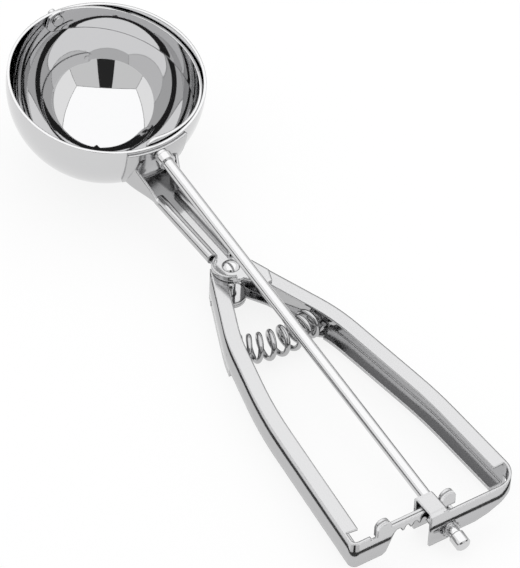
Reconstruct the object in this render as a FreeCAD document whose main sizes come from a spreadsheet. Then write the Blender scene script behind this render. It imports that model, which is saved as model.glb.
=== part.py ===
import FreeCAD, Part
import math
import os
from FreeCAD import Placement, Rotation, Vector

# Lever ice cream scoop. +X runs from the bowl to the handle ends and +Z is up.
# The origin is the lowest point of the bowl, straight under its centre.
# The arms lie level on the table, and the scraper's rod slopes down from the bowl to them.

# Driving dimensions, in millimetres and degrees
VALUES = (
    ("bowl_radius", 28.4, "outer radius of the bowl"),
    ("bowl_wall", 0.8, "sheet of the bowl"),
    ("rim_rise", 2.6, "rim above the scraper's axis"),
    ("bowl_centre_height", 29.2, "centre of the bowl above the table"),
    ("rod_end_height", 5.6, "rod's axis above the table at the pinion"),
    ("rod_radius", 1.75, "round rod"),
    ("journal_radius", 1.15, "thin ends of the scraper's axis"),
    ("running_gap", 0.1, "radial gap of a turning fit"),
    ("seat_gap", 0.3, "gap between a moving piece and what stops it"),
    ("fit_gap", 0.02, "radial gap of a fixed fit"),
    ("sheet", 0.8, "sheet of the stem and the arms"),
    ("scraper_width", 8.0, "width of the scraper's band"),
    ("scraper_sheet", 0.8, "thickness of the scraper's band"),
    ("scraper_gap", 0.35, "gap between scraper and bowl"),
    ("scraper_ear", 3.6, "length of the band past its axis"),
    ("scraper_rest", 8.0, "band below the rim plane at rest"),
    ("scraper_sweep", 180.0, "turn of the scraper for a full squeeze"),
    ("pin_head_radius", 1.7, "heads inside the bowl"),
    ("pin_stub", 1.9, "front pin outside the bowl"),
    ("collar_radius", 2.5, "collar behind the bowl"),
    ("collar_length", 3.6, "collar behind the bowl"),
    ("pivot_x", 66.0, "lever pivot from the bowl's centre"),
    ("arm_height", 11.2, "top of the arms above the table"),
    ("arm_lift", 2.4, "underside of the slim part of the arms"),
    ("flange_width", 4.2, "top flanges of the arms"),
    ("lower_flange", 5.0, "bottom flanges of the arms"),
    ("skirt_end", 27.5, "end of the deep part of the arms from the pivot"),
    ("step_width", 1.8, "foot of the deep part at its end"),
    ("eye_radius", 4.6, "round ends of the arms at the pivot"),
    ("rivet_radius", 1.5, "shank of the pivot rivet"),
    ("rivet_head_radius", 2.6, "head of the pivot rivet"),
    ("rivet_head_height", 1.3, "head of the pivot rivet"),
    ("rack_reach", 103.0, "pivot to the middle of the rack"),
    ("plate_gap", 3.8, "middle of the rack to the outside of the right end plate"),
    ("layer_gap", 0.1, "line between the two layers of the rack"),
    ("tooth_pitch", 2.6, "pitch of the rack and the pinion"),
    ("tooth_count", 8, "teeth of the pinion"),
    ("addendum", 0.6, "tooth above the pitch line"),
    ("dedendum", 0.85, "tooth below the pitch line"),
    ("pressure_angle", 28.0, "flank of the rack's teeth"),
    ("backlash", 0.44, "play between the teeth at the pitch line"),
    ("rack_height", 3.5, "rack from its top edge to the tips"),
    ("lobe_radius", 2.2, "round stops on the rack"),
    ("lobe_rise", 0.8, "centre of a stop above the rack's top edge"),
    ("pinion_length", 3.6, "pinion along the rod"),
    ("guide_width", 5.0, "strap over the rack"),
    ("guide_right", -1.2, "right edge of the strap"),
    ("guide_length", 8.0, "strap along the rod"),
    ("guide_foot", 1.0, "lower edge of the strap's two plates"),
    ("washer_radius", 2.7, "toothed washer on the rod"),
    ("washer_sheet", 0.6, "toothed washer on the rod"),
    ("cap_radius", 2.2, "knob on the rod's end"),
    ("cap_length", 4.0, "knob on the rod's end"),
    ("cap_offset", 3.0, "knob from the right end plate"),
    ("stem_tube_radius", 1.7, "rolled edges of the stem"),
    ("stem_tube_spread", 3.3, "rolled edges from the middle"),
    ("stem_end", 61.6, "end of the rolled edges"),
    ("wing_half_width", 9.5, "plate of the stem on the bowl"),
    ("wing_drop", 12.0, "plate of the stem on the bowl"),
    ("dish_radius", 5.6, "round end of the stem"),
    ("lip_height", 1.1, "raised lip of the stem's end"),
    ("spring_arc", 26.3, "pivot to the spring's centre line"),
    ("spring_radius", 3.75, "middle of the wire from the coil's axis"),
    ("spring_wire", 0.8, "radius of the spring's wire"),
    ("spring_turns", 8.0, "turns of the spring"),
    ("spring_height", 5.6, "coil's axis above the table"),
    ("spring_end_share", 0.2, "how much closer the end turns lie"),
    ("spring_set_back", 2.6, "end of the spring from the wall, along its axis"),
    ("spring_boss", 2.1, "bosses that hold the spring"),
    ("spring_boss_length", 2.4, "bosses that hold the spring"),
)

doc = FreeCAD.newDocument("ice_cream_scoop")
sheet = doc.addObject("Spreadsheet::Sheet", "Sizes")
for row, (name, value, meaning) in enumerate(VALUES, start=1):
    sheet.set("A%d" % row, name)
    sheet.set("B%d" % row, str(value))
    sheet.set("C%d" % row, meaning)
    sheet.setAlias("B%d" % row, name)
doc.recompute()
size = {name: float(sheet.get(name)) for name, value, meaning in VALUES}

# Lengths that follow from the driving dimensions
wall = size["sheet"]
bowl_inside = size["bowl_radius"] - size["bowl_wall"]
pitch_radius = size["tooth_pitch"] * size["tooth_count"] / (2 * math.pi)
scraper_outside = bowl_inside - size["scraper_gap"]
scraper_inside = scraper_outside - size["scraper_sheet"]
pinion_x = size["pivot_x"] + size["rack_reach"]
rod_drop = size["bowl_centre_height"] - size["rod_end_height"]
rod_slope = math.degrees(math.atan2(rod_drop, pinion_x))
lever_angle = size["scraper_sweep"] * pitch_radius / size["rack_reach"]
right_reach = size["rack_reach"] + size["plate_gap"]
plate_out_x = size["pivot_x"] + right_reach
plate_in_x = plate_out_x - wall
wing_inside = size["bowl_radius"] + size["fit_gap"]
wing_outside = wing_inside + wall

# Frames: the rod's own axis, the table under the arms, and the open left arm
rod_frame = Placement(Vector(0, 0, size["bowl_radius"]), Rotation(Vector(0, 1, 0), rod_slope))
table_frame = Placement(Vector(0, 0, size["bowl_radius"] - size["bowl_centre_height"]), Rotation())
pivot_point = Vector(size["pivot_x"], 0, 0)
lever_turn = Placement(Vector(0, 0, 0), Rotation(Vector(0, 0, 1), -lever_angle), pivot_point)
lever_frame = table_frame.multiply(lever_turn)


def rod_height(x):
    """Height of the rod's axis above the table at a place along X."""
    return size["bowl_centre_height"] - x * math.tan(math.radians(rod_slope))


def along_rod(x):
    """Distance from the bowl's centre along the rod to a place along X."""
    return x / math.cos(math.radians(rod_slope))


def new_body(name, placement):
    body = doc.addObject("PartDesign::Body", name)
    body.Label = name
    body.Placement = placement
    return body


def new_sketch(body, name, role, shift, edges):
    """A closed outline on one of the body's own planes, moved along its normal."""
    plane = [part for part in body.Origin.OriginFeatures if part.Role == role][0]
    sketch = body.newObject("Sketcher::SketchObject", name)
    sketch.AttachmentSupport = [(plane, "")]
    sketch.MapMode = "FlatFace"
    sketch.AttachmentOffset = Placement(Vector(0, 0, shift), Rotation())
    sketch.addGeometry(edges, False)
    return sketch


def pad(body, sketch, length, symmetric=False):
    feature = body.newObject("PartDesign::Pad", sketch.Name + "_pad")
    feature.Profile = sketch
    feature.SideType = "Symmetric" if symmetric else "One side"
    feature.setExpression("Length", length)
    return feature


def pocket(body, sketch, length, symmetric=False):
    feature = body.newObject("PartDesign::Pocket", sketch.Name + "_pocket")
    feature.Profile = sketch
    feature.SideType = "Symmetric" if symmetric else "One side"
    feature.setExpression("Length", length)
    return feature


def revolve(body, sketch, axis, angle="360", symmetric=False):
    feature = body.newObject("PartDesign::Revolution", sketch.Name + "_turned")
    feature.Profile = sketch
    feature.ReferenceAxis = (sketch, [axis])
    feature.Midplane = symmetric
    feature.setExpression("Angle", angle)
    return feature


def closed(points):
    """Straight edges round a list of (x, y) points."""
    corners = [Vector(x, y, 0) for x, y in points]
    return [Part.LineSegment(a, b) for a, b in zip(corners, corners[1:] + corners[:1])]


def circle(x, y, radius):
    return [Part.Circle(Vector(x, y, 0), Vector(0, 0, 1), radius)]


def arc(centre, radius, start, end):
    """Arc about a centre from one angle to the next, in degrees."""
    middle = (start + end) / 2
    points = []
    for angle in (start, middle, end):
        turn = math.radians(angle)
        points.append(Vector(centre[0] + radius * math.cos(turn), centre[1] + radius * math.sin(turn), 0))
    return Part.Arc(*points)


def path_edges(points, radii):
    """Edges of an open path through (x, y) points, each inner corner rounded by its radius."""
    corners = [Vector(x, y, 0) for x, y in points]
    edges = []
    start = corners[0]
    for before, corner, after, radius in zip(corners, corners[1:], corners[2:], radii):
        back = (before - corner).normalize()
        ahead = (after - corner).normalize()
        half = back.getAngle(ahead) / 2
        radius = abs(radius)
        reach = radius / math.tan(half)
        inward = (back + ahead).normalize()
        middle = corner + inward * (radius / math.sin(half) - radius)
        arc_start = corner + back * reach
        arc_end = corner + ahead * reach
        edges.append(Part.LineSegment(start, arc_start))
        edges.append(Part.Arc(arc_start, middle, arc_end))
        start = arc_end
    edges.append(Part.LineSegment(start, corners[-1]))
    return edges


def offset_points(points, distance):
    """The same path moved sideways by a distance, to the right of its own direction."""
    normals = []
    for a, b in zip(points, points[1:]):
        length = math.hypot(b[0] - a[0], b[1] - a[1])
        normals.append(((b[1] - a[1]) / length, -(b[0] - a[0]) / length))
    moved = [(points[0][0] + normals[0][0] * distance, points[0][1] + normals[0][1] * distance)]
    for point, one, two in zip(points[1:-1], normals, normals[1:]):
        share = distance / (1 + one[0] * two[0] + one[1] * two[1])
        moved.append((point[0] + (one[0] + two[0]) * share, point[1] + (one[1] + two[1]) * share))
    last = normals[-1]
    moved.append((points[-1][0] + last[0] * distance, points[-1][1] + last[1] * distance))
    return moved


def band_outline(points, radii, near, far):
    """Closed outline between two paths that lie at two distances beside the given one."""
    outer = path_edges(offset_points(points, near), [radius - near for radius in radii])
    inner = path_edges(offset_points(points, far), [radius - far for radius in radii])
    first = Part.LineSegment(outer[0].StartPoint, inner[0].StartPoint)
    last = Part.LineSegment(inner[-1].EndPoint, outer[-1].EndPoint)
    return outer + inner + [first, last]


# Bowl

def make_bowl():
    body = new_body("bowl", rod_frame)
    outer = size["bowl_radius"]
    rise = size["rim_rise"]
    outer_end = math.degrees(math.asin(rise / outer))
    inner_end = math.degrees(math.asin(rise / bowl_inside))
    shell = [
        arc((0, 0), outer, -90, outer_end),
        arc((0, 0), bowl_inside, -90, inner_end),
        Part.LineSegment(Vector(0, -outer, 0), Vector(0, -bowl_inside, 0)),
        Part.LineSegment(
            Vector(math.sqrt(outer ** 2 - rise ** 2), rise, 0),
            Vector(math.sqrt(bowl_inside ** 2 - rise ** 2), rise, 0),
        ),
    ]
    profile = new_sketch(body, "bowl_profile", "XZ_Plane", 0, shell)
    revolve(body, profile, "V_Axis")
    hole = size["journal_radius"] + size["running_gap"]
    axis_holes = new_sketch(body, "bowl_axis_holes", "YZ_Plane", 0, circle(0, 0, hole))
    pocket(body, axis_holes, "3 * Sizes.bowl_radius", symmetric=True)
    return body


# Scraper and its axis

def make_scraper():
    turn = Placement(Vector(0, 0, 0), Rotation(Vector(1, 0, 0), -size["scraper_rest"]))
    body = new_body("scraper", rod_frame.multiply(turn))
    half = size["scraper_width"] / 2
    outer_end = math.degrees(math.asin(half / scraper_outside))
    inner_end = math.degrees(math.asin(half / scraper_inside))
    outer_edge = math.sqrt(scraper_outside ** 2 - half ** 2)
    inner_edge = math.sqrt(scraper_inside ** 2 - half ** 2)
    section = [
        arc((0, 0), scraper_outside, -outer_end, outer_end),
        arc((0, 0), scraper_inside, -inner_end, inner_end),
        Part.LineSegment(Vector(outer_edge, half, 0), Vector(inner_edge, half, 0)),
        Part.LineSegment(Vector(outer_edge, -half, 0), Vector(inner_edge, -half, 0)),
    ]
    profile = new_sketch(body, "scraper_section", "YZ_Plane", 0, section)
    ear_turn = "2 * asin(Sizes.scraper_ear / Sizes.bowl_radius)"
    revolve(body, profile, "V_Axis", "180 deg + " + ear_turn, symmetric=True)
    hole = size["journal_radius"] + size["fit_gap"]
    axis_holes = new_sketch(body, "scraper_axis_holes", "YZ_Plane", 0, circle(0, 0, hole))
    pocket(body, axis_holes, "3 * Sizes.bowl_radius", symmetric=True)
    round_end = size["scraper_width"] / 2 - size["fit_gap"]
    bend = arc((0, 0), round_end, 90, 270)
    box = [Vector(0, -round_end, 0), Vector(0, -2 * round_end, 0), Vector(-2 * round_end, -2 * round_end, 0),
           Vector(-2 * round_end, 2 * round_end, 0), Vector(0, 2 * round_end, 0), Vector(0, round_end, 0)]
    ears = new_sketch(body, "scraper_ear_ends", "YZ_Plane", 0,
                      [bend] + [Part.LineSegment(a, b) for a, b in zip(box, box[1:])])
    pocket(body, ears, "3 * Sizes.bowl_radius", symmetric=True)
    return body


def turned_piece(name, steps):
    """A round piece on the scraper's axis from (start, end, radius) steps, side by side."""
    body = new_body(name, rod_frame)
    outline = [(steps[0][0], 0)]
    for start, end, radius in steps:
        outline.append((start, radius))
        outline.append((end, radius))
    outline.append((steps[-1][1], 0))
    profile = new_sketch(body, name + "_profile", "XZ_Plane", 0, closed(outline))
    revolve(body, profile, "H_Axis")
    return body


def turned_ring(name, bore, steps):
    """A bored round piece on the scraper's axis."""
    body = new_body(name, rod_frame)
    outline = [(steps[0][0], bore)]
    for start, end, radius in steps:
        outline.append((start, radius))
        outline.append((end, radius))
    outline.append((steps[-1][1], bore))
    profile = new_sketch(body, name + "_profile", "XZ_Plane", 0, closed(outline))
    revolve(body, profile, "H_Axis")
    return body


head_seat = math.sqrt(scraper_inside ** 2 - size["pin_head_radius"] ** 2)
head_top = head_seat - 0.55
collar_start = wing_outside + size["seat_gap"]
collar_end = collar_start + size["collar_length"]
rod_shoulder = collar_start + 0.8


def make_front_pin():
    return turned_piece("front_pivot_pin", [
        (-size["bowl_radius"] - size["pin_stub"], -head_seat, size["journal_radius"]),
        (-head_seat, -head_top, size["pin_head_radius"]),
    ])


def make_rod():
    cap_start = along_rod(plate_out_x + size["cap_offset"])
    return turned_piece("scraper_rod", [
        (head_top, head_seat, size["pin_head_radius"]),
        (head_seat, rod_shoulder, size["journal_radius"]),
        (rod_shoulder, cap_start + size["cap_length"] - 1.0, size["rod_radius"]),
    ])


def make_collar():
    """Collar between the bowl and the rod, with a slimmer neck on the bowl's side."""
    body = new_body("rod_collar", rod_frame)
    thin_bore = size["journal_radius"] + size["fit_gap"]
    wide_bore = size["rod_radius"] + size["fit_gap"]
    neck = size["collar_radius"] - 0.5
    neck_end = collar_start + 1.2
    profile = new_sketch(body, "rod_collar_profile", "XZ_Plane", 0, closed([
        (collar_start, thin_bore),
        (collar_start, neck),
        (neck_end, neck),
        (neck_end, size["collar_radius"]),
        (collar_end, size["collar_radius"]),
        (collar_end, wide_bore),
        (rod_shoulder, wide_bore),
        (rod_shoulder, thin_bore),
    ]))
    revolve(body, profile, "H_Axis")
    return body


def make_washer():
    """Toothed washer that grips the rod in front of the right arm's end plate."""
    start = along_rod(plate_out_x) + 2 * size["seat_gap"] + 0.1
    body = turned_ring("retaining_washer", size["rod_radius"] + size["fit_gap"], [
        (start, start + size["washer_sheet"], size["washer_radius"]),
    ])
    slot_depth = 0.55
    rim = size["washer_radius"]
    slot = closed([
        (-0.35, rim - slot_depth),
        (0.35, rim - slot_depth),
        (0.35, rim + 0.5),
        (-0.35, rim + 0.5),
    ])
    slots = new_sketch(body, "washer_slot", "YZ_Plane", start + 2 * size["washer_sheet"], slot)
    cut = pocket(body, slots, "3 * Sizes.washer_sheet")
    around(body, cut, 10)
    return body


def around(body, feature, count):
    """Repeat a feature about the scraper's axis."""
    axis = [part for part in body.Origin.OriginFeatures if part.Role == "X_Axis"][0]
    pattern = body.newObject("PartDesign::PolarPattern", feature.Name + "_pattern")
    pattern.Originals = [feature]
    pattern.Axis = (axis, [""])
    pattern.Angle = 360
    pattern.Occurrences = count
    body.Tip = pattern
    return pattern


def make_cap():
    start = along_rod(plate_out_x + size["cap_offset"])
    inner = start + size["cap_length"] - 1.0 + size["fit_gap"]
    end = start + size["cap_length"]
    bore = size["rod_radius"] + size["fit_gap"]
    body = new_body("rod_end_cap", rod_frame)
    outside = size["cap_radius"]
    profile = new_sketch(body, "rod_end_cap_profile", "XZ_Plane", 0, closed([
        (start, bore),
        (start, outside - 0.3),
        (start + 0.3, outside),
        (end - 0.4, outside),
        (end, outside - 0.4),
        (end, 0),
        (inner, 0),
        (inner, bore),
    ]))
    revolve(body, profile, "H_Axis")
    return body


# Pinion and rack

def involute(base, radius):
    """Angle that an involute of the base circle has turned at a radius."""
    steep = math.acos(base / radius)
    return math.tan(steep) - steep


def make_pinion():
    """Pinion with involute flanks, a gap between two teeth facing straight up."""
    body = new_body("pinion", rod_frame)
    start = along_rod(pinion_x) - size["pinion_length"] / 2
    root = pitch_radius - size["dedendum"]
    tip = pitch_radius + size["addendum"]
    count = int(size["tooth_count"])
    base = pitch_radius * math.cos(math.radians(size["pressure_angle"]))
    half_tooth = (size["tooth_pitch"] - size["backlash"]) / 4 / pitch_radius
    half_at_base = half_tooth + involute(base, pitch_radius)
    flank = []
    for share in (0, 0.35, 0.7, 1):
        radius = base + (tip - base) * share
        flank.append((radius, half_at_base - involute(base, radius)))
    flank.insert(0, (root, half_at_base))
    points = []
    for tooth in range(count):
        middle = math.pi / 2 + 2 * math.pi * (tooth + 0.5) / count
        for radius, half in flank:
            points.append((radius * math.cos(middle - half), radius * math.sin(middle - half)))
        for radius, half in reversed(flank):
            points.append((radius * math.cos(middle + half), radius * math.sin(middle + half)))
    outline = closed(points) + circle(0, 0, size["rod_radius"] + size["fit_gap"])
    teeth = new_sketch(body, "pinion_teeth", "YZ_Plane", start, outline)
    pad(body, teeth, "Sizes.pinion_length")
    return body


rack_pitch_height = size["rod_end_height"] + pitch_radius / math.cos(math.radians(rod_slope))
rack_tip = rack_pitch_height - size["addendum"]
rack_root = rack_pitch_height + size["dedendum"]
rack_top = rack_tip + size["rack_height"]
guide_left = size["guide_right"] - size["guide_width"]
rack_travel = math.pi * pitch_radius * size["scraper_sweep"] / 180
end_lobe = rack_travel + size["guide_right"] + size["seat_gap"] + size["lobe_radius"]
inner_lobe = guide_left - size["seat_gap"] - size["lobe_radius"]


def tooth_row(first, last):
    """Lower edge of the rack from its last tooth back to its first, teeth pointing down."""
    pitch = size["tooth_pitch"]
    lean = math.tan(math.radians(size["pressure_angle"]))
    half = pitch / 4 - size["backlash"] / 4
    at_tip = half - size["addendum"] * lean
    at_root = half + size["dedendum"] * lean
    points = []
    for number in range(last, first - 1, -1):
        middle = number * pitch
        points.append((middle + at_root, rack_root))
        points.append((middle + at_tip, rack_tip))
        points.append((middle - at_tip, rack_tip))
        points.append((middle - at_root, rack_root))
    return points


def lobe(centre):
    """Round stop on the rack's top edge, from its left foot to its right one."""
    radius = size["lobe_radius"]
    left = Vector(centre - radius, rack_top + size["lobe_rise"], 0)
    right = Vector(centre + radius, rack_top + size["lobe_rise"], 0)
    top = Vector(centre, rack_top + size["lobe_rise"] + radius, 0)
    return left, Part.Arc(left, top, right), right


def rack_outline(left_points):
    """Rack seen along the rod: teeth below, a stop at each end, and what it joins on the left."""
    end_left, end_arc, end_right = lobe(end_lobe)
    inner_left, inner_arc, inner_right = lobe(inner_lobe)
    last = int((end_lobe + size["lobe_radius"]) // size["tooth_pitch"])
    teeth = tooth_row(-1, last - 1)
    tail = [(end_lobe + size["lobe_radius"], rack_root)] + teeth
    lower = [end_right] + [Vector(y, z, 0) for y, z in tail + left_points] + [inner_left]
    edges = [Part.LineSegment(a, b) for a, b in zip(lower, lower[1:])]
    top_one = Vector(inner_right.x, rack_top, 0)
    top_two = Vector(end_left.x, rack_top, 0)
    edges += [inner_arc, Part.LineSegment(inner_right, top_one), Part.LineSegment(top_one, top_two)]
    edges += [Part.LineSegment(top_two, end_left), end_arc]
    return edges


def make_rack():
    """Rear layer of the rack, a toothed strip with both stops."""
    body = new_body("rack", table_frame)
    start = size["pivot_x"] + size["rack_reach"] - size["layer_gap"] / 2 - wall
    foot = inner_lobe - size["lobe_radius"]
    outline = rack_outline([(foot, rack_root)])
    profile = place_sketch(body, "rack_profile", rack_place(start), outline)
    pad(body, profile, "Sizes.sheet")
    return body


def rack_place(x):
    """Plane square to X that holds the rack's outline, moved back from its place when squeezed."""
    return Placement(Vector(x, -rack_travel, 0), Rotation(Vector(1, 1, 1), 120))


def place_sketch(body, name, placement, edges):
    """A closed outline on a plane that stands anywhere in the body's own frame."""
    sketch = new_sketch(body, name, "XY_Plane", 0, edges)
    sketch.AttachmentOffset = placement
    return sketch


# Arms

def arm_path(points, side):
    """Outer path of an arm in plan, its points counted from the pivot."""
    return [(size["pivot_x"] + x, y * side) for x, y in points]


def strip(path, side, bends, near, far):
    """Outline of a strip that runs along an arm, between two distances from its outside."""
    return band_outline(arm_path(path, side), [bend * side for bend in bends], near * side, far * side)


def path_at(path, x):
    """Distance of a path from the middle plane at a place along X."""
    for (x0, y0), (x1, y1) in zip(path, path[1:]):
        if x <= x1:
            return y0 + (y1 - y0) * (x - x0) / (x1 - x0)
    return path[-1][1]


def plan_box(x0, x1, y0, y1, side):
    return closed(arm_path([(x0, y0), (x1, y0), (x1, y1), (x0, y1)], side))


def sector(side, radius, start, end):
    """Slice of a disc about the pivot."""
    pivot = (size["pivot_x"], 0)
    edge = arc(pivot, radius, start * side, end * side)
    middle = Vector(pivot[0], 0, 0)
    return [edge, Part.LineSegment(edge.EndPoint, middle), Part.LineSegment(middle, edge.StartPoint)]


def ring_sector(side, inner, outer, start, end):
    pivot = (size["pivot_x"], 0)
    far = arc(pivot, outer, start * side, end * side)
    near = arc(pivot, inner, start * side, end * side)
    ends = [Part.LineSegment(far.StartPoint, near.StartPoint), Part.LineSegment(far.EndPoint, near.EndPoint)]
    return [far, near] + ends


def arm_sides(name, body, side, path, bends, long_end):
    """Side wall, flanges and the deep part round the spring, all of one bent sheet."""
    top = size["arm_height"]
    lift = size["arm_lift"]
    skirt_end = size["skirt_end"]
    long_path = list(path[:3]) + [(long_end, path_at(path[:4], long_end))]
    slim = new_sketch(body, name + "_lower_flange", "XY_Plane", lift,
                      strip(long_path, side, bends[:2], 0, size["lower_flange"]))
    pad(body, slim, "Sizes.sheet")
    edge = offset_points(path[:3], 0.7 * wall)
    foot = path_at(edge, skirt_end)
    start = [(-10, -5), (skirt_end + 12.5, -5), (skirt_end, foot - size["step_width"]), (skirt_end, 30), (-10, 30)]
    short = new_sketch(body, name + "_flange_start", "XY_Plane", lift + wall, closed(arm_path(start, side)))
    pocket(body, short, "Sizes.sheet")
    side_wall = new_sketch(body, name + "_wall", "XY_Plane", 0, strip(path, side, bends, 0, wall))
    pad(body, side_wall, "Sizes.arm_height")
    under = new_sketch(body, name + "_lift", "XY_Plane", lift,
                       plan_box(skirt_end, right_reach + 5, -30, 40, side))
    pocket(body, under, "Sizes.arm_lift")
    inner = [(skirt_end, foot - size["step_width"]), (23.7, 10.0), (10.2, 7.8), (8.1, 7.0), (2.3, 3.4)]
    outer = [edge[0]] + [point for point in edge[1:2] if point[0] < skirt_end] + [(skirt_end, foot)]
    skirt = new_sketch(body, name + "_skirt", "XY_Plane", 0, closed(arm_path(outer + inner, side)))
    pad(body, skirt, "Sizes.sheet")
    step = new_sketch(body, name + "_step", "XY_Plane", 0,
                      plan_box(skirt_end - wall, skirt_end, foot - size["step_width"], foot, side))
    pad(body, step, "Sizes.arm_lift + Sizes.sheet")
    upper = new_sketch(body, name + "_upper_flange", "XY_Plane", top - wall,
                       strip(long_path, side, bends[:2], 0, size["flange_width"]))
    pad(body, upper, "Sizes.sheet")


def pivot_hole(name, body, radius):
    hole = new_sketch(body, name + "_pivot_hole", "XY_Plane", size["arm_height"] + 1,
                      circle(size["pivot_x"], 0, radius))
    pocket(body, hole, "Sizes.arm_height + 2")


def wall_angle(path):
    """Direction from the pivot in which the spring's centre line meets the inside of a wall."""
    (x0, y0), (x1, y1) = path[:2]
    slope = math.atan2(y1 - y0, x1 - x0)
    distance = y0 * math.cos(slope) - x0 * math.sin(slope) - wall
    return math.degrees(slope + math.asin(distance / size["spring_arc"]))


def closed_point(across):
    """Point on the outside of the left end plate, turned back from its place at rest."""
    along = size["rack_reach"] + size["layer_gap"] / 2 + wall
    turn = math.radians(lever_angle)
    return (along * math.cos(turn) + across * math.sin(turn), across * math.cos(turn) - along * math.sin(turn))


def spring_boss(name, body, side, path):
    """Round boss inside an end of the spring, along the spring's own centre line."""
    angle = wall_angle(path) * side
    turn = math.radians(angle)
    along = Vector(math.sin(turn), -math.cos(turn), 0) * side
    foot = Vector(size["pivot_x"] + size["spring_arc"] * math.cos(turn), size["spring_arc"] * math.sin(turn),
                  size["spring_height"])
    boss = place_sketch(body, name + "_boss",
                        Placement(foot - along * 0.25 * wall, Rotation(Vector(0, 0, 1), along)),
                        circle(0, 0, size["spring_boss"]))
    pad(body, boss, "Sizes.spring_boss_length")


right_path = (
    (-2.2, 5.6),
    (29.0, 17.2),
    (right_reach - 37.8, 22.2),
    (right_reach, 23.2),
    (right_reach, size["guide_right"]),
)
left_path = (
    (-2.2, 5.4),
    (24.0, 13.8),
    (size["rack_reach"] - 51.0, 17.9),
    closed_point(29.2),
    closed_point(24.5),
)
guide_top = rack_top + size["seat_gap"] + wall


def make_right_arm():
    """Fixed arm; its end plate carries the rod and is folded into a strap over the rack."""
    body = new_body("right_arm", table_frame)
    top = size["arm_height"]
    arm_sides("right", body, 1, right_path, (60.0, 150.0, 7.0), right_reach - 7.3)
    low = size["guide_foot"]
    plate_cut = new_sketch(body, "right_plate_edge", "YZ_Plane", plate_out_x + 1, closed([
        (-1, -1),
        (24.6, -1),
        (24.6, 6.2),
        (18.6, 6.2),
        (12.7, 3.4),
        (5.7, 1.7),
        (2.0, low),
        (-1, low),
    ]))
    pocket(body, plate_cut, "Sizes.guide_length")
    path = [(plate_out_x - size["guide_length"], low), (plate_out_x - size["guide_length"], guide_top),
            (plate_out_x, guide_top), (plate_out_x, low)]
    guide = new_sketch(body, "right_guide", "XZ_Plane", -size["guide_right"],
                       band_outline(path, [1.2, 1.2], 0, wall))
    pad(body, guide, "Sizes.guide_width")
    gusset = new_sketch(body, "right_plate_shoulder", "YZ_Plane", plate_in_x, closed([
        (size["guide_right"] - 1.0, low),
        (size["guide_right"] + 1.0, low),
        (size["guide_right"] + 1.0, top),
        (size["guide_right"], top + 1.0),
        (size["guide_right"] - 1.0, top + 1.0),
    ]))
    pad(body, gusset, "Sizes.sheet")
    for label, x in (("front", plate_out_x - wall / 2), ("rear", plate_out_x - size["guide_length"] + wall / 2)):
        hole = new_sketch(body, "right_rod_hole_" + label, "YZ_Plane", x,
                          circle(0, rod_height(x), size["rod_radius"] + 2 * size["running_gap"]))
        pocket(body, hole, "3 * Sizes.sheet", symmetric=True)
    for level, label in ((top - wall, "upper"), (0, "lower")):
        eye = new_sketch(body, "right_eye_" + label, "XY_Plane", level,
                         circle(size["pivot_x"], 0, size["eye_radius"]))
        pad(body, eye, "Sizes.sheet")
        shoulder = new_sketch(body, "right_eye_shoulder_" + label, "XY_Plane", level, shoulder_outline(1))
        pad(body, shoulder, "Sizes.sheet")
    pivot_hole("right", body, size["rivet_radius"] + size["fit_gap"])
    spring_boss("right", body, 1, right_path)
    return body


def shoulder_outline(side):
    """Triangle that carries the round end of an arm over to its wall."""
    (x0, y0), (x1, y1) = right_path[:2]
    slope = math.degrees(math.atan2(y1 - y0, x1 - x0))
    reach = math.hypot(x0, y0) - 0.02
    start = 90 + slope
    turn = math.degrees(math.acos(size["eye_radius"] / reach))
    points = [(0, 0)]
    for angle, radius in ((start, reach), (start + turn, size["eye_radius"])):
        rad = math.radians(angle)
        points.append((radius * math.cos(rad), radius * math.sin(rad)))
    return closed(arm_path(points, side))


def make_left_arm():
    """Moving arm; its end plate runs on as the front layer of the rack."""
    body = new_body("left_arm", lever_frame)
    top = size["arm_height"]
    arm_sides("left", body, -1, left_path, (60.0, 150.0, 2.0), size["rack_reach"] - 2.0)
    levels = ((top + 1, top - 2 * wall - 0.1, "upper"), (wall + 0.1, wall + 0.1, "lower"))
    for cut_top, lug, label in levels:
        clear = new_sketch(body, "left_eye_clearance_" + label, "XY_Plane", cut_top,
                           circle(size["pivot_x"], 0, size["eye_radius"] + 0.7))
        pocket(body, clear, "2.4 * Sizes.sheet")
    for cut_top, lug, label in levels:
        step_foot = lug if label == "upper" else 0
        joggle = new_sketch(body, "left_joggle_" + label, "XY_Plane", step_foot,
                            ring_sector(-1, size["eye_radius"] + 0.7, size["eye_radius"] + 1.9, 20, 84))
        pad(body, joggle, "2 * Sizes.sheet + 0.1")
        neck = new_sketch(body, "left_neck_" + label, "XY_Plane", lug,
                          sector(-1, size["eye_radius"] + 1.9, 20, 84))
        pad(body, neck, "Sizes.sheet")
        eye = new_sketch(body, "left_eye_" + label, "XY_Plane", lug,
                         circle(size["pivot_x"], 0, size["eye_radius"]))
        pad(body, eye, "Sizes.sheet")
    foot = inner_lobe - size["lobe_radius"]
    plate = rack_outline([
        (-4.7, rack_root),
        (-5.4, rack_root - 0.8),
        (-7.8, 3.2),
        (-9.0, size["arm_lift"]),
        (-16.0, size["arm_lift"]),
        (-16.0, top),
        (foot - 2.0, top),
        (foot - 2.0, top - 1.2),
        (foot, top - 1.2),
    ])
    start = size["pivot_x"] + size["rack_reach"] + size["layer_gap"] / 2
    front = place_sketch(body, "left_end_plate", lever_turn.inverse().multiply(rack_place(start)), plate)
    pad(body, front, "Sizes.sheet")
    pivot_hole("left", body, size["rivet_radius"] + size["running_gap"])
    spring_boss("left", body, -1, left_path)
    return body


# Pivot rivet and stem

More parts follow.
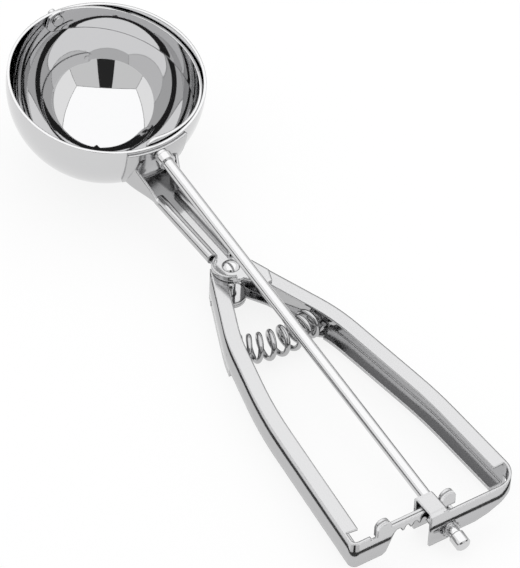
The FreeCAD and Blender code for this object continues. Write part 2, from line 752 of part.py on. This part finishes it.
def make_pivot_rivet():
    body = new_body("pivot_rivet", table_frame)
    plate_top = size["arm_height"] + size["fit_gap"] * 5 + wall
    head = plate_top + 0.02
    dome = size["rivet_head_height"]
    radius = size["rivet_head_radius"]
    ball = (radius ** 2 + dome ** 2) / (2 * dome)
    middle = math.radians(45)
    half = math.asin(radius / ball) / 2
    x = size["pivot_x"]
    crown = Part.Arc(Vector(x + radius, head, 0),
                     Vector(x + ball * math.sin(half), head + dome - ball * (1 - math.cos(half)), 0),
                     Vector(x, head + dome, 0))
    shank = size["rivet_radius"]
    corners = [(x, head + dome), (x, 0.05), (x + shank, 0.05), (x + shank, head), (x + radius, head)]
    points = [Vector(a, b, 0) for a, b in corners]
    edges = [Part.LineSegment(a, b) for a, b in zip(points, points[1:])]
    profile = new_sketch(body, "pivot_rivet_profile", "XZ_Plane", 0, edges + [crown])
    shift = new_sketch_axis(profile, x)
    revolve(body, profile, shift)
    return body


def new_sketch_axis(sketch, x):
    """Vertical construction line in a sketch, used as the axis of a revolution."""
    sketch.addGeometry(Part.LineSegment(Vector(x, -50, 0), Vector(x, 50, 0)), True)
    return "Axis0"


def make_stem():
    """Pressed stem: a plate on the bowl, a trough, a channel with rolled edges and a round end."""
    body = new_body("stem", table_frame)
    plate = size["arm_height"] + size["fit_gap"] * 5
    tube = size["stem_tube_radius"]
    spread = size["stem_tube_spread"]
    tube_height = plate + tube - 0.1
    turn = Rotation(Vector(0, 1, 0), rod_slope)
    upright = turn.multiply(Rotation(Vector(1, 0, 0), 90))
    centre = Vector(0, 0, size["bowl_centre_height"])
    bottom = math.degrees(math.asin(-size["wing_drop"] / wing_inside))
    low = math.radians(bottom)
    top_angle = math.radians(3.4)
    ends = []
    for angle in (low, top_angle):
        ends.append(Part.LineSegment(
            Vector(wing_inside * math.cos(angle), wing_inside * math.sin(angle), 0),
            Vector(wing_outside * math.cos(angle), wing_outside * math.sin(angle), 0)))
    wing_edges = [arc((0, 0), wing_inside, bottom, 3.4), arc((0, 0), wing_outside, bottom, 3.4)] + ends
    wing = place_sketch(body, "stem_wing", Placement(centre, upright), wing_edges)
    revolve(body, wing, "V_Axis", "2 * asin(Sizes.wing_half_width / Sizes.bowl_radius)", symmetric=True)
    sections = []
    across = Rotation(Vector(1, 1, 1), 120)
    for number, (x, floor, half, height) in enumerate((
        (21.0, 13.0, 8.2, 26.2),
        (26.5, 12.0, 7.2, 20.8),
        (31.5, plate + 0.15, spread + tube + 0.5, 16.4),
        (36.0, plate, spread + tube, tube_height + 0.6),
    )):
        points = [(-half, height), (-half, floor), (half, floor), (half, height)]
        edges = band_outline(points, [-2.0, -2.0], 0, -wall)
        sections.append(place_sketch(body, "stem_trough_%d" % number,
                                     Placement(Vector(x, 0, 0), across), edges))
    trough = body.newObject("PartDesign::AdditiveLoft", "stem_trough")
    trough.Profile = sections[0]
    trough.Sections = sections[1:]
    room = place_sketch(body, "stem_bowl_room", Placement(centre, upright),
                        [arc((0, 0), wing_inside, -90, 90),
                         Part.LineSegment(Vector(0, -wing_inside, 0), Vector(0, wing_inside, 0))])
    groove = body.newObject("PartDesign::Groove", "stem_bowl_room_cut")
    groove.Profile = room
    groove.ReferenceAxis = (room, ["V_Axis"])
    groove.Angle = 360
    journal = size["journal_radius"] + 2.5 * size["running_gap"]
    hole = place_sketch(body, "stem_axis_hole",
                        Placement(centre + turn.multVec(Vector(size["bowl_radius"], 0, 0)),
                                  turn.multiply(across)),
                        circle(0, 0, journal))
    pocket(body, hole, "5 * Sizes.sheet", symmetric=True)
    half = spread + 0.6
    joint = 180 - math.degrees(math.asin(half / size["dish_radius"]))
    pivot_at = (size["pivot_x"], 0)
    front = arc(pivot_at, size["dish_radius"], -joint, 5)
    back = arc(pivot_at, size["dish_radius"], 100, joint)
    tab = [Vector(x, y, 0) for x, y in arm_path([(10.6, 4.4), (10.4, 6.8), (6.5, 8.2)], 1)]
    around_tab = [front.EndPoint] + tab + [back.StartPoint]
    start = [back.EndPoint, Vector(35, half, 0), Vector(35, -half, 0), front.StartPoint]
    edges = [Part.LineSegment(a, b) for line in (around_tab, start) for a, b in zip(line, line[1:])]
    channel = new_sketch(body, "stem_channel", "XY_Plane", plate, edges + [front, back])
    pad(body, channel, "Sizes.sheet")
    for side, label in ((1, "right"), (-1, "left")):
        rolled = place_sketch(body, "stem_edge_" + label, Placement(Vector(34.0, 0, 0), across),
                              circle(side * spread, tube_height, tube)
                              + circle(side * spread, tube_height, tube - wall))
        pad(body, rolled, "Sizes.stem_end - 34")
    lip = new_sketch(body, "stem_lip", "XY_Plane", plate,
                     ring_sector(-1, size["dish_radius"] - wall, size["dish_radius"], 15, 150))
    pad(body, lip, "Sizes.sheet + Sizes.lip_height")
    pivot = new_sketch(body, "stem_pivot_hole", "XY_Plane", plate + 3,
                       circle(size["pivot_x"], 0, size["rivet_radius"] + size["fit_gap"]))
    pocket(body, pivot, "5")
    return body


# Return spring

def biarc(start, start_dir, end, end_dir):
    """Two tangent arcs from one point and direction to another."""
    across = end - start
    total = start_dir + end_dir
    square = 4 - total.dot(total)
    lead = across.dot(total)
    reach = (-lead + math.sqrt(lead * lead + square * across.dot(across))) / square
    first = start + start_dir * reach
    second = end - end_dir * reach
    joint = (first + second) / 2
    return arc_from(start, start_dir, joint), arc_to(joint, end, end_dir)


def arc_from(start, direction, end):
    chord = end - start
    along = chord / chord.Length
    side = direction - along * direction.dot(along)
    bend = direction.getAngle(chord)
    middle = (start + end) / 2 + side / side.Length * (chord.Length / 2 * math.tan(bend / 2))
    return Part.Arc(start, middle, end).toShape()


def arc_to(start, end, direction):
    chord = start - end
    back = direction * -1
    along = chord / chord.Length
    side = back - along * back.dot(along)
    bend = back.getAngle(chord)
    middle = (start + end) / 2 + side / side.Length * (chord.Length / 2 * math.tan(bend / 2))
    return Part.Arc(start, middle, end).toShape()


def spring_point(turns, start, end):
    """Point of the spring's wire after a number of turns, its coil axis an arc about the pivot."""
    share = turns / size["spring_turns"]
    close = size["spring_end_share"] * math.sin(2 * math.pi * share) / (2 * math.pi)
    angle = math.radians(start + (end - start) * (share - close))
    phase = 2 * math.pi * turns
    radius = size["spring_arc"] + size["spring_radius"] * math.cos(phase)
    return Vector(radius * math.cos(angle), radius * math.sin(angle),
                  size["spring_radius"] * math.sin(phase))


def spring_gap(start, end):
    """Least gap between the wire and another part of itself."""
    steps = int(size["spring_turns"] * 36)
    points = [spring_point(step / 36, start, end) for step in range(steps + 1)]
    least = 1000.0
    for number, point in enumerate(points):
        for other in points[number + 18:]:
            least = min(least, point.distanceToPoint(other))
    return least - 2 * size["spring_wire"]


def make_spring():
    """Coil between the two arms, at rest, its axis an arc about the pivot."""
    back = math.degrees(size["spring_set_back"] / size["spring_arc"])
    start = -(wall_angle(left_path) + lever_angle - back)
    end = wall_angle(right_path) - back
    print("spring, least gap to itself", round(spring_gap(start, end), 3))
    steps = int(size["spring_turns"] * 4)
    edges = []
    small = 1e-4
    previous = None
    for step in range(steps + 1):
        turns = step / 4
        point = spring_point(turns, start, end)
        ahead = spring_point(turns + small, start, end) - spring_point(turns - small, start, end)
        ahead = ahead / ahead.Length
        if previous:
            edges.extend(biarc(previous[0], previous[1], point, ahead))
        previous = (point, ahead)
    first = spring_point(0, start, end)
    direction = spring_point(small, start, end) - spring_point(-small, start, end)
    section = Part.Wire([Part.Circle(first, direction, size["spring_wire"]).toShape()])
    pipe = Part.BRepOffsetAPI.MakePipeShell(Part.Wire(edges))
    pipe.add(section)
    pipe.build()
    pipe.makeSolid()
    spring = doc.addObject("Part::Feature", "return_spring")
    spring.Label = "return_spring"
    spring.Shape = pipe.shape()
    spring.Placement = table_frame.multiply(Placement(Vector(size["pivot_x"], 0, size["spring_height"]), Rotation()))
    return spring


# Every shape is checked before it is written

def main():
    pieces = [
        make_bowl(),
        make_stem(),
        make_right_arm(),
        make_pivot_rivet(),
        make_spring(),
        make_left_arm(),
        make_rack(),
        make_scraper(),
        make_front_pin(),
        make_rod(),
        make_collar(),
        make_pinion(),
        make_washer(),
        make_cap(),
    ]
    doc.recompute()
    for item in doc.Objects:
        if "Invalid" in item.State or "Error" in item.State:
            raise RuntimeError("%s did not build: %s" % (item.Name, item.State))
    os.makedirs("parts", exist_ok=True)
    for piece in pieces:
        shape = piece.Shape
        if shape.isNull() or not shape.isValid() or len(shape.Solids) != 1:
            raise RuntimeError("%s is not one valid solid" % piece.Label)
        shape.exportStep("parts/%s.step" % piece.Label)
        print(piece.Label, round(shape.Volume, 1))


main()
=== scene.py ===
import math

import bpy
from mathutils import Matrix, Vector


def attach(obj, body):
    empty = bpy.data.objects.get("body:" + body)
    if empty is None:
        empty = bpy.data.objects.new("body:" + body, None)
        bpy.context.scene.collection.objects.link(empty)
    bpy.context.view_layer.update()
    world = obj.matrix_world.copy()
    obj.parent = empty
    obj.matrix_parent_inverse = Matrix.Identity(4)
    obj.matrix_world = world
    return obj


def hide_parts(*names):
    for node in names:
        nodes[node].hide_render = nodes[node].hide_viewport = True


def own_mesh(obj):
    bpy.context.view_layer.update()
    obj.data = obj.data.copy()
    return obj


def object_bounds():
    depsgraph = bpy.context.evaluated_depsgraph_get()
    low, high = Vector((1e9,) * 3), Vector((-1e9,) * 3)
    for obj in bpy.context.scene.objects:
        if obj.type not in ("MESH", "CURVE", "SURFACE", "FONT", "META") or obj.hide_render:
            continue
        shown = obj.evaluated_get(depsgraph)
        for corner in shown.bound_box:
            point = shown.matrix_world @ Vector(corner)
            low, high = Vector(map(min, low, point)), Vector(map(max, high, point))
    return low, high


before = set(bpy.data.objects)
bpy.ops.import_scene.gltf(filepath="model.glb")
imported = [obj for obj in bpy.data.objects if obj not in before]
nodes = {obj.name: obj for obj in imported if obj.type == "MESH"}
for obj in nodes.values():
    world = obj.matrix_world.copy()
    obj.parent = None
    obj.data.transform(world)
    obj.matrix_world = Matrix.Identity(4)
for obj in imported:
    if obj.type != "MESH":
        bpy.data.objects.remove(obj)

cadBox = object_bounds()


# small helpers for the node trees

def mathNode(nodeTree, operation, *values):
    node = nodeTree.nodes.new("ShaderNodeMath")
    node.operation = operation
    for slot, value in enumerate(values):
        if isinstance(value, (int, float)):
            node.inputs[slot].default_value = value
        else:
            nodeTree.links.new(value, node.inputs[slot])
    return node.outputs[0]


def noiseNode(nodeTree, vector, scale, detail):
    node = nodeTree.nodes.new("ShaderNodeTexNoise")
    node.inputs["Detail"].default_value = detail
    nodeTree.links.new(vector, node.inputs["Vector"])
    if isinstance(scale, float):
        node.inputs["Scale"].default_value = scale
    else:
        nodeTree.links.new(scale, node.inputs["Scale"])
    return node.outputs["Fac"]


def mixNumber(nodeTree, mask, under, over):
    node = nodeTree.nodes.new("ShaderNodeMix")
    nodeTree.links.new(mask, node.inputs["Factor"])
    nodeTree.links.new(under, node.inputs["A"])
    node.inputs["B"].default_value = over
    return node.outputs["Result"]


def addSocket(group, name, inOut, kind):
    group.interface.new_socket(name=name, in_out=inOut, socket_type=kind)


# camera at the photograph's viewing angle

view = {
    "target": (0.085, 0.0, 0.0114),
    "azimuth": -35.12,
    "elevation": 44.78,
    "roll": -2.77,
    "distance": 1.23413,
    "focalPixels": 4500.0,
    "axisPixel": (268.57, 307.15),
    "frame": (520.0, 568.0),
    "sensorWidth": 36.0,
    "clipEnd": 20.0,
}


def placeCamera(look):
    azimuth = math.radians(look["azimuth"])
    elevation = math.radians(look["elevation"])
    roll = math.radians(look["roll"])
    back = Vector((math.cos(azimuth) * math.cos(elevation), math.sin(azimuth) * math.cos(elevation),
                   math.sin(elevation)))
    right = (-back).cross(Vector((0, 0, 1))).normalized()
    down = (-back).cross(right)
    across = math.cos(roll) * right + math.sin(roll) * down
    along = -math.sin(roll) * right + math.cos(roll) * down
    lens = bpy.data.cameras.new("camera")
    camera = bpy.data.objects.new("camera", lens)
    bpy.context.scene.collection.objects.link(camera)
    place = Vector(look["target"]) + back * look["distance"]
    camera.matrix_world = Matrix((
        (across.x, -along.x, back.x, place.x),
        (across.y, -along.y, back.y, place.y),
        (across.z, -along.z, back.z, place.z),
        (0, 0, 0, 1),
    ))
    width, height = look["frame"]
    lens.sensor_fit = "HORIZONTAL"
    lens.sensor_width = look["sensorWidth"]
    lens.lens = look["focalPixels"] * look["sensorWidth"] / width
    lens.shift_x = (width / 2 - look["axisPixel"][0]) / width
    lens.shift_y = (look["axisPixel"][1] - height / 2) / width
    lens.clip_end = look["clipEnd"]
    bpy.context.scene.camera = camera


placeCamera(view)
print("camera: done")


# polished steel: fine lines from the polishing wheel, with clouds of duller metal between them

polish = {
    "cloudScale": 90.0,
    "cloudDetail": 2.0,
    "lineDetail": 3.0,
    "lineDepth": 0.00005,
    "edgeSamples": 12,
}


def polishGroup(look):
    group = bpy.data.node_groups.new("polishLines", "ShaderNodeTree")
    addSocket(group, "Vector", "INPUT", "NodeSocketVector")
    addSocket(group, "Line Scale", "INPUT", "NodeSocketFloat")
    addSocket(group, "Roughness", "INPUT", "NodeSocketFloat")
    addSocket(group, "Spread", "INPUT", "NodeSocketFloat")
    addSocket(group, "Roughness Out", "OUTPUT", "NodeSocketFloat")
    addSocket(group, "Height", "OUTPUT", "NodeSocketFloat")
    inside = group.nodes.new("NodeGroupInput")
    outside = group.nodes.new("NodeGroupOutput")
    vector = inside.outputs["Vector"]
    cloud = noiseNode(group, vector, look["cloudScale"], look["cloudDetail"])
    lines = noiseNode(group, vector, inside.outputs["Line Scale"], look["lineDetail"])
    both = mathNode(group, "MULTIPLY", cloud, lines)
    rough = mathNode(group, "MULTIPLY_ADD", both, inside.outputs["Spread"], inside.outputs["Roughness"])
    group.links.new(rough, outside.inputs["Roughness Out"])
    group.links.new(lines, outside.inputs["Height"])
    return group


polishLines = polishGroup(polish)


def leanWalls(tree, vector, look, soften, bump):
    # outer walls lean in more and more above the upright height, as pressed sheet does;
    # inner walls, whose normals point to the tool's middle, stay upright
    split = tree.nodes.new("ShaderNodeSeparateXYZ")
    tree.links.new(vector, split.inputs[0])
    facing = tree.nodes.new("ShaderNodeSeparateXYZ")
    tree.links.new(tree.nodes.new("ShaderNodeNewGeometry").outputs["Normal"], facing.inputs[0])
    away = mathNode(tree, "MULTIPLY", split.outputs["Y"], facing.outputs["Y"])
    outer = mathNode(tree, "GREATER_THAN", away, look["outerFrom"])
    above = mathNode(tree, "SUBTRACT", split.outputs["Z"], look["uprightAt"])
    square = mathNode(tree, "MULTIPLY", above, above)
    height = mathNode(tree, "MULTIPLY", square, -look["lean"])
    height = mathNode(tree, "MULTIPLY", height, outer)
    lean = tree.nodes.new("ShaderNodeBump")
    lean.inputs["Distance"].default_value = 1.0
    tree.links.new(height, lean.inputs["Height"])
    tree.links.new(soften.outputs["Normal"], lean.inputs["Normal"])
    tree.links.new(lean.outputs["Normal"], bump.inputs["Normal"])


def steelMaterial(name, look):
    material = bpy.data.materials.new(name)
    material.use_nodes = True
    tree = material.node_tree
    shader = tree.nodes["Principled BSDF"]
    shader.inputs["Metallic"].default_value = 1.0
    shader.inputs["Base Color"].default_value = (*look["colour"], 1.0)
    place = tree.nodes.new("ShaderNodeTexCoord")
    turn = tree.nodes.new("ShaderNodeMapping")
    turn.inputs["Scale"].default_value = look["stretch"]
    turn.inputs["Rotation"].default_value = look.get("turn", (0, 0, 0))
    tree.links.new(place.outputs["Object"], turn.inputs["Vector"])
    lines = tree.nodes.new("ShaderNodeGroup")
    lines.node_tree = polishLines
    lines.inputs["Line Scale"].default_value = look["lineScale"]
    lines.inputs["Roughness"].default_value = look["roughness"]
    lines.inputs["Spread"].default_value = look["spread"]
    tree.links.new(turn.outputs["Vector"], lines.inputs["Vector"])
    tree.links.new(lines.outputs["Roughness Out"], shader.inputs["Roughness"])
    bump = tree.nodes.new("ShaderNodeBump")
    bump.inputs["Strength"].default_value = look["bump"]
    bump.inputs["Distance"].default_value = polish["lineDepth"]
    tree.links.new(lines.outputs["Height"], bump.inputs["Height"])
    soften = tree.nodes.new("ShaderNodeBevel")  # rounds sharp bends and edges in the light
    soften.samples = polish["edgeSamples"]
    soften.inputs["Radius"].default_value = look["edge"]
    tree.links.new(soften.outputs["Normal"], bump.inputs["Normal"])
    if "lean" in look:
        leanWalls(tree, place.outputs["Object"], look, soften, bump)
    tree.links.new(bump.outputs["Normal"], shader.inputs["Normal"])
    return material


bowlLook = {
    "colour": (0.62, 0.62, 0.625), "roughness": 0.02, "spread": 0.04,
    "bump": 0.02, "lineScale": 300.0, "stretch": (1, 1, 1), "edge": 0.0004,
}
armLook = {
    "colour": (0.50, 0.50, 0.505), "roughness": 0.08, "spread": 0.10,
    "bump": 0.08, "lineScale": 1500.0, "stretch": (0.05, 1, 1), "edge": 0.0007,
    "lean": 62.0, "uprightAt": 0.0021, "outerFrom": -0.0008,
}
stemLook = {
    "colour": (0.52, 0.52, 0.525), "roughness": 0.08, "spread": 0.10,
    "bump": 0.06, "lineScale": 1500.0, "stretch": (0.05, 1, 1), "edge": 0.0007,
}
rodLook = {
    "colour": (0.62, 0.62, 0.625), "roughness": 0.06, "spread": 0.06,
    "bump": 0.04, "lineScale": 1500.0, "stretch": (0.05, 1, 1), "edge": 0.0003,
    "turn": (0, 0.13875, 0),
}
cutLook = {
    "colour": (0.52, 0.52, 0.525), "roughness": 0.22, "spread": 0.12,
    "bump": 0.15, "lineScale": 1800.0, "stretch": (1, 1, 0.1), "edge": 0.0003,
}
springLook = {
    "colour": (0.45, 0.45, 0.455), "roughness": 0.05, "spread": 0.06,
    "bump": 0.04, "lineScale": 1200.0, "stretch": (1, 1, 1), "edge": 0.0002,
}

steels = {
    "bowl": steelMaterial("bowlSteel", bowlLook),
    "arm": steelMaterial("armSteel", armLook),
    "stem": steelMaterial("stemSteel", stemLook),
    "rod": steelMaterial("rodSteel", rodLook),
    "cut": steelMaterial("cutSteel", cutLook),
    "spring": steelMaterial("springSteel", springLook),
}
finishes = {
    "bowl": ("bowl", "scraper"),
    "arm": ("right_arm", "left_arm"),
    "stem": ("stem",),
    "rod": ("pivot_rivet", "front_pivot_pin", "scraper_rod", "rod_collar", "rod_end_cap"),
    "cut": ("rack", "pinion", "retaining_washer"),
    "spring": ("return_spring",),
}
for finish, members in finishes.items():
    for member in members:
        mesh = nodes[member].data
        mesh.materials.clear()
        mesh.materials.append(steels[finish])
print("finishes: done")


# return spring: round wire on a coil whose axis is an arc about the pivot

spring = {
    "pivot": (0.066, 0.0, 0.0048),
    "arcRadius": 0.0263,
    "coilRadius": 0.00375,
    "wireRadius": 0.0008,
    "turns": 8,
    "startAngle": -28.888,
    "endAngle": 26.169,
    "endShare": 0.2,
    "pointsPerTurn": 12,
    "stepsPerPoint": 3,
    "wireSteps": 5,
    "mergeWithin": 0.00001,
    "smoothBelow": 40.0,
    "squashAxis": (0.438, 0.899, 0.0),
    "squashKeep": 0.88,
}


def springPoint(look, turns):
    share = turns / look["turns"]
    share -= look["endShare"] * math.sin(2 * math.pi * share) / (2 * math.pi)
    angle = math.radians(look["startAngle"] + (look["endAngle"] - look["startAngle"]) * share)
    phase = 2 * math.pi * turns
    reach = look["arcRadius"] + look["coilRadius"] * math.cos(phase)
    x, y, z = look["pivot"]
    rise = look["coilRadius"] * math.sin(phase)
    return (x + reach * math.cos(angle), y + reach * math.sin(angle), z + rise)


def makeSpring(look):
    bpy.ops.object.select_all(action="DESELECT")
    bpy.ops.curve.primitive_nurbs_path_add(location=(0, 0, 0))
    wire = bpy.context.object
    wire.name = "springWire"
    curve = wire.data
    curve.splines.clear()
    line = curve.splines.new("NURBS")
    count = look["turns"] * look["pointsPerTurn"] + 1
    line.points.add(count - 1)
    for number in range(count):
        line.points[number].co = (*springPoint(look, number / look["pointsPerTurn"]), 1.0)
    line.order_u = 4
    line.use_endpoint_u = True
    line.resolution_u = look["stepsPerPoint"]
    curve.dimensions = "3D"
    curve.bevel_depth = look["wireRadius"]
    curve.bevel_resolution = look["wireSteps"]
    curve.use_fill_caps = True
    bpy.ops.object.convert(target="MESH")
    wire = bpy.context.object
    bpy.ops.object.mode_set(mode="EDIT")
    bpy.ops.mesh.select_all(action="SELECT")
    bpy.ops.mesh.remove_doubles(threshold=look["mergeWithin"])
    bpy.ops.mesh.normals_make_consistent(inside=False)
    bpy.ops.object.mode_set(mode="OBJECT")
    bpy.ops.object.shade_smooth_by_angle(angle=math.radians(look["smoothBelow"]))
    wire.data.materials.clear()
    wire.data.materials.append(steels["spring"])
    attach(wire, "frame")
    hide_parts("return_spring")
    fixedEnd = springPoint({**look, "coilRadius": 0.0}, look["turns"])
    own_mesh(wire)


makeSpring(spring)
print("spring: done")


# studio: white floor in a white tent that has a dark slit on the camera's side, dark seams where
# two of its walls meet, and a dark skirt at the ground

studio = {
    "centre": (0.06, 0.0),
    "ground": cadBox[0][2] - 0.0001,
    "turn": -35.12,
    "front": 0.50,
    "back": 0.70,
    "side": 0.60,
    "height": 0.64,
    "ceilingGlow": 1.55,
    "frontGlow": 0.85,
    "sideGlow": 1.15,
    "backGlow": 1.0,
    "slitHalf": 0.106,
    "slitGlow": 0.03,
    "seamHalf": 0.006,
    "seamWalls": 1.5,
    "seamGlow": 0.25,
    "skirtHeight": 0.14,
    "skirtGlow": 0.06,
    "floorSize": 4.0,
    "floorColour": 0.84,
    "floorWhite": 0.85,
    "floorRoughness": 0.9,
}


def makeTent(look):
    bpy.ops.object.select_all(action="DESELECT")
    bpy.ops.mesh.primitive_cube_add(size=1.0, location=(0, 0, 0))
    tent = bpy.context.object
    tent.name = "lightTent"
    length = look["front"] + look["back"]
    bpy.ops.object.mode_set(mode="EDIT")
    bpy.ops.mesh.select_all(action="SELECT")
    bpy.ops.transform.resize(value=(length, 2 * look["side"], look["height"]))
    bpy.ops.transform.translate(value=((look["front"] - look["back"]) / 2, 0, look["height"] / 2))
    bpy.ops.mesh.flip_normals()
    bpy.ops.object.mode_set(mode="OBJECT")
    tent.rotation_euler = (0, 0, math.radians(look["turn"]))
    tent.location = (*look["centre"], look["ground"])
    tent.visible_camera = False
    tent.data.materials.append(tentCloth(look))
    bpy.ops.object.mode_set(mode="EDIT")
    bpy.ops.mesh.select_all(action="DESELECT")
    bpy.ops.object.mode_set(mode="OBJECT")
    for polygon in tent.data.polygons:
        polygon.select = polygon.center.z < look["seamHalf"]  # the face on the ground
    bpy.ops.object.mode_set(mode="EDIT")
    bpy.ops.mesh.delete(type="FACE")
    bpy.ops.object.mode_set(mode="OBJECT")


def tentCloth(look):
    material = bpy.data.materials.new("tentCloth")
    material.use_nodes = True
    tree = material.node_tree
    tree.nodes.remove(tree.nodes["Principled BSDF"])
    glow = tree.nodes.new("ShaderNodeEmission")
    place = tree.nodes.new("ShaderNodeTexCoord")
    split = tree.nodes.new("ShaderNodeSeparateXYZ")
    tree.links.new(place.outputs["Object"], split.inputs[0])
    ahead, across, up = split.outputs
    beside = mathNode(tree, "ABSOLUTE", across)
    half = look["seamHalf"]
    onCeiling = mathNode(tree, "GREATER_THAN", up, look["height"] - half)
    onFront = mathNode(tree, "GREATER_THAN", ahead, look["front"] - half)
    onBack = mathNode(tree, "LESS_THAN", ahead, half - look["back"])
    onSide = mathNode(tree, "GREATER_THAN", beside, look["side"] - half)
    inSlit = mathNode(tree, "LESS_THAN", beside, look["slitHalf"])
    inSlit = mathNode(tree, "MULTIPLY", inSlit, onFront)
    level = mathNode(tree, "MULTIPLY", onCeiling, look["ceilingGlow"])
    level = mathNode(tree, "MULTIPLY_ADD", onFront, look["frontGlow"], level)
    level = mathNode(tree, "MULTIPLY_ADD", onSide, look["sideGlow"], level)
    level = mathNode(tree, "MULTIPLY_ADD", onBack, look["backGlow"], level)
    level = mathNode(tree, "MULTIPLY_ADD", inSlit, look["slitGlow"] - look["frontGlow"], level)
    walls = mathNode(tree, "ADD", onCeiling, onFront)
    walls = mathNode(tree, "ADD", walls, onBack)
    walls = mathNode(tree, "ADD", walls, onSide)
    seam = mathNode(tree, "GREATER_THAN", walls, look["seamWalls"])
    low = mathNode(tree, "LESS_THAN", up, look["skirtHeight"])
    level = mixNumber(tree, seam, level, look["seamGlow"])
    level = mixNumber(tree, low, level, look["skirtGlow"])
    tree.links.new(level, glow.inputs["Strength"])
    tree.links.new(glow.outputs[0], tree.nodes["Material Output"].inputs["Surface"])
    return material


def makeFloor(look):
    bpy.ops.object.select_all(action="DESELECT")
    bpy.ops.mesh.primitive_plane_add(size=look["floorSize"], location=(*look["centre"], look["ground"]))
    floor = bpy.context.object
    floor.name = "floor"
    material = bpy.data.materials.new("floorPaper")
    material.use_nodes = True
    tree = material.node_tree
    shader = tree.nodes["Principled BSDF"]
    shader.inputs["Base Color"].default_value = (*(look["floorColour"],) * 3, 1)
    shader.inputs["Roughness"].default_value = look["floorRoughness"]
    glow = tree.nodes.new("ShaderNodeEmission")
    path = tree.nodes.new("ShaderNodeLightPath")
    seen = mathNode(tree, "MAXIMUM", path.outputs["Is Camera Ray"], path.outputs["Is Glossy Ray"])
    seen = mathNode(tree, "MAXIMUM", seen, path.outputs["Is Transmission Ray"])
    seen = mathNode(tree, "MULTIPLY", seen, look["floorWhite"])
    mix = tree.nodes.new("ShaderNodeMixShader")
    tree.links.new(seen, mix.inputs[0])
    tree.links.new(shader.outputs[0], mix.inputs[1])
    tree.links.new(glow.outputs[0], mix.inputs[2])
    tree.links.new(mix.outputs[0], tree.nodes["Material Output"].inputs["Surface"])
    floor.data.materials.append(material)


makeFloor(studio)
makeTent(studio)
room = bpy.data.worlds.new("room")
bpy.context.scene.world = room
room.use_nodes = True
room.node_tree.nodes["Background"].inputs["Color"].default_value = (1, 1, 1, 1)
room.node_tree.nodes["Background"].inputs["Strength"].default_value = 1.0
bpy.context.scene.view_settings.view_transform = "Standard"
print("studio: done")
